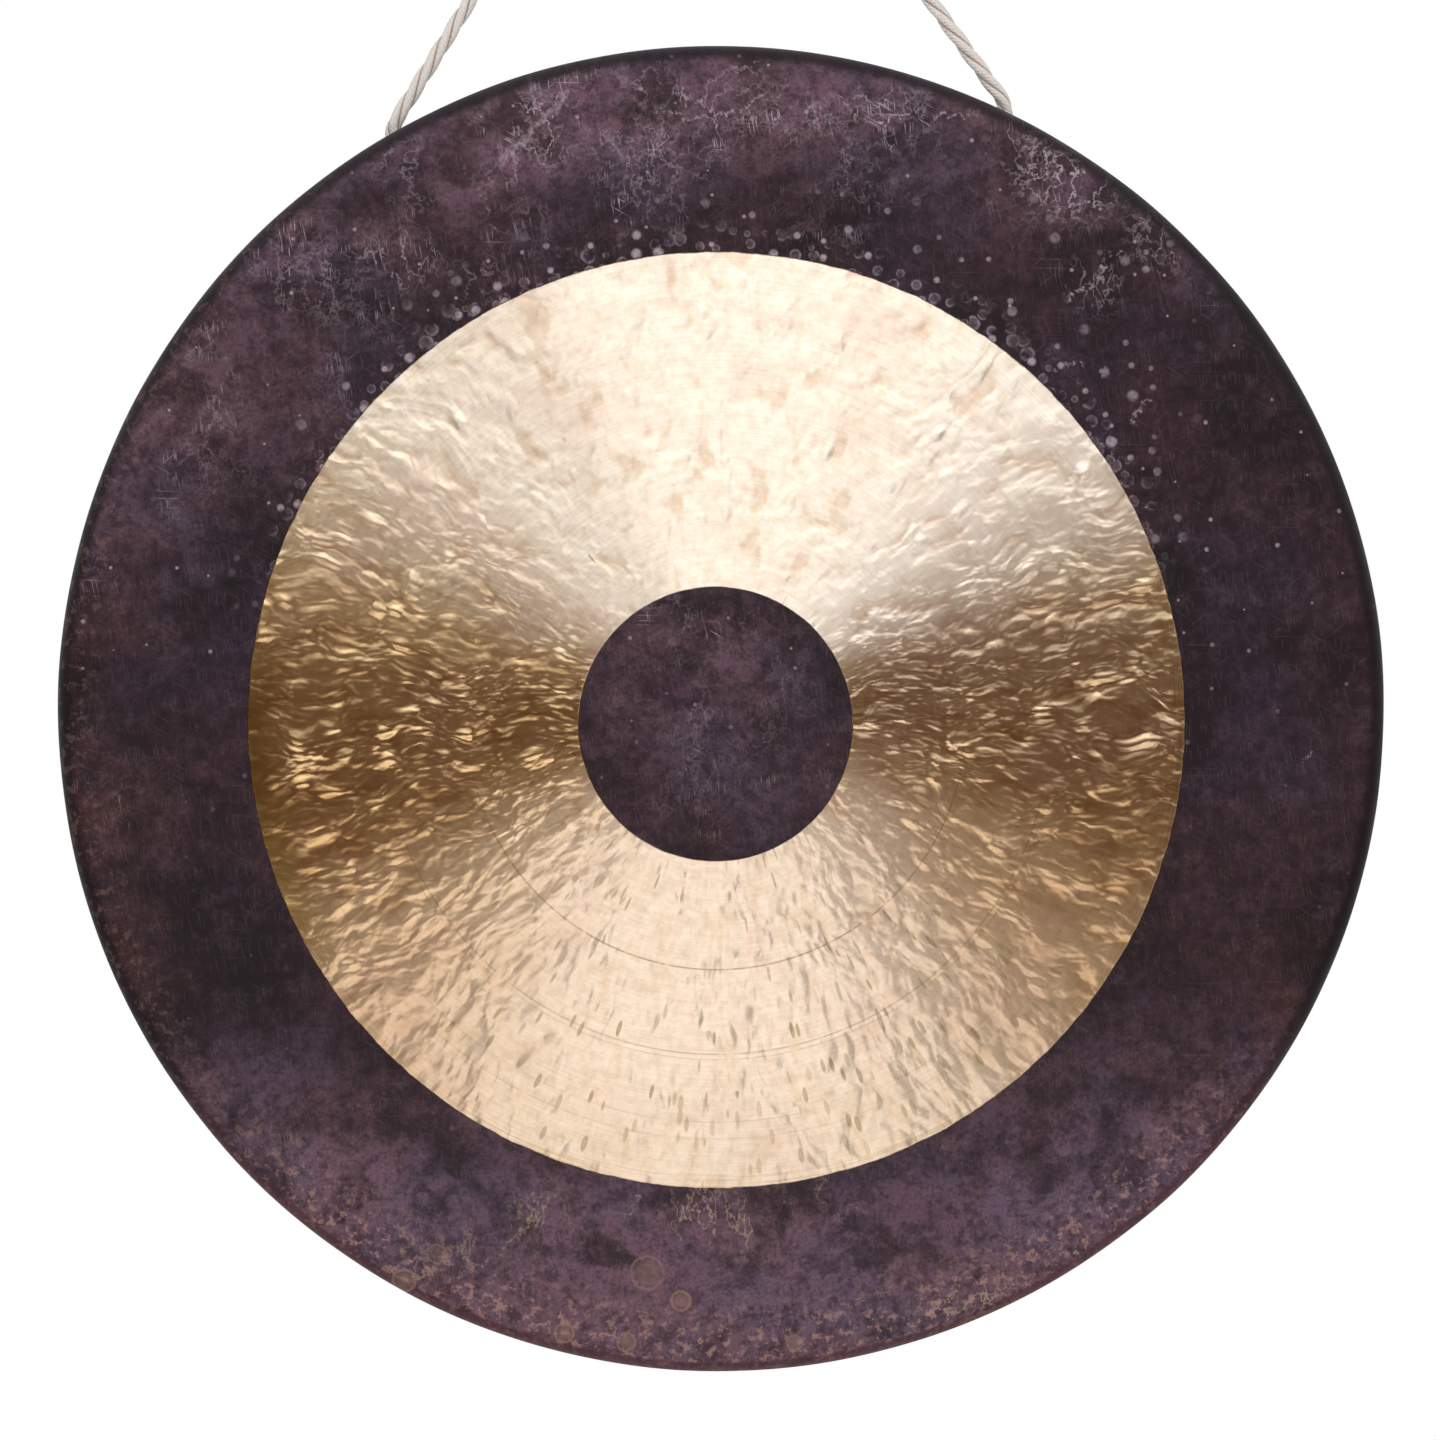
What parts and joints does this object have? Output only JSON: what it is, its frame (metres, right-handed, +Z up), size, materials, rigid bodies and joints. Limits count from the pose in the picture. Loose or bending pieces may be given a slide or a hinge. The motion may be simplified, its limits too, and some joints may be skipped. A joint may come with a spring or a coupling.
{
  "type": "chau gong",
  "caption": "Hanging chau gong: hammered bronze disc with a turned-back rim, on one cotton cord over a steel S-hook.",
  "frame": {"origin": "hang point: the inside top of the S-hook's upper bend", "axes": "+Z up, +X to the right of somebody who faces the gong, the struck face looks along -Y"},
  "size_m": [0.864, 0.1029, 1.1891],
  "materials": {
    "bronze": "lathed bright ring between a dark oxidised middle and a dark oxidised outer band",
    "cotton": "undyed twisted cotton",
    "steel": "zinc plated, satin"
  },
  "bodies": {
    "hook": {"s_hook": "steel"},
    "cord": {"cord": "cotton"},
    "gong": {"gong_disc": "bronze", "knot_left": "cotton", "knot_right": "cotton"}
  },
  "joints": [
    {"name": "cord_swing", "type": "hinge", "parent": "hook", "child": "cord", "pos_m": [0, 0, -0.063], "axis": [1, 0, 0], "range_deg": [-20, 20]},
    {"name": "gong_tilt", "type": "hinge", "parent": "cord", "child": "gong", "pos_m": [0, 0, -0.3706], "axis": [1, 0, 0], "range_deg": [-20, 20]}
  ]
}
